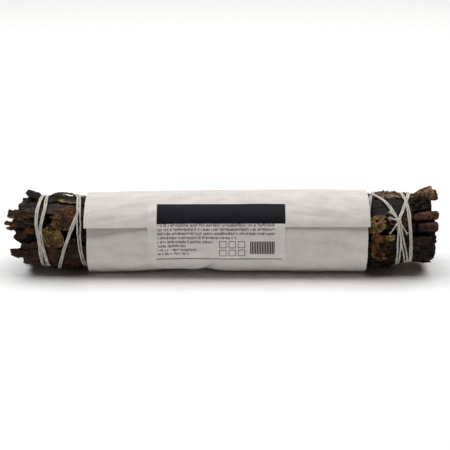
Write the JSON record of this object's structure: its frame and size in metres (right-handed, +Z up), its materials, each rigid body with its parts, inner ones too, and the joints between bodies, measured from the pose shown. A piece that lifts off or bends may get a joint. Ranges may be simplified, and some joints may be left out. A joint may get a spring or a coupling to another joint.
{
  "type": "smudge stick",
  "caption": "Bundle of dried leaves packed into a stick, bound with doubled cotton thread, with a paper wrap and a label round its middle.",
  "frame": {"origin": "on the resting surface, under the middle of the whole stick", "axes": "+X along the stick towards its square-cut end, -Y the front with the label, +Z up"},
  "size_m": [0.225, 0.044, 0.0445],
  "materials": {
    "dark_leaf": "dried leaf, very dark brown, leathery with a resinous sheen on folds",
    "red_leaf": "dried leaf, red-brown, veined",
    "brown_leaf": "dried leaf, warm brown, crinkled",
    "olive_leaf": "dried leaf, olive, pebbled by its net of veins",
    "tan_leaf": "dried leaf, grey-tan underside, crinkled",
    "grey_leaf": "dried leaf, grey-purple, matt",
    "cotton": "undyed cotton yarn, softly twisted, matt and fuzzy",
    "paper": "uncoated off-white wrapping paper, softly creased",
    "label_paper": "self-adhesive paper label, white with a dark printed band, smooth"
  },
  "bodies": {
    "root": {"loop_leaf_left": "tan_leaf", "olive_leaf_left": "olive_leaf", "brown_leaf_left": "brown_leaf", "grey_leaf_left": "grey_leaf", "top_leaf_left": "dark_leaf", "midrib_leaf_left": "dark_leaf", "red_leaf_left": "red_leaf", "dark_leaf_left": "dark_leaf", "under_leaf_left": "dark_leaf", "rear_leaf_left_1": "dark_leaf", "rear_leaf_left_2": "dark_leaf", "rear_leaf_left_3": "dark_leaf", "olive_leaf_right": "olive_leaf", "curled_leaf_right": "brown_leaf", "dark_leaf_right": "dark_leaf", "crinkled_leaf_right": "tan_leaf", "ragged_leaf_right": "dark_leaf", "lower_leaf_right": "dark_leaf", "under_leaf_right": "dark_leaf", "rear_leaf_right_1": "dark_leaf", "rear_leaf_right_2": "dark_leaf", "rear_leaf_right_3": "dark_leaf", "rolled_leaf_top": "brown_leaf", "rolled_leaf_front": "brown_leaf", "rolled_leaf_low": "brown_leaf", "packed_leaves": "dark_leaf", "binding_thread": "cotton", "paper_wrap": "paper", "paper_label": "label_paper"}
  },
  "joints": []
}
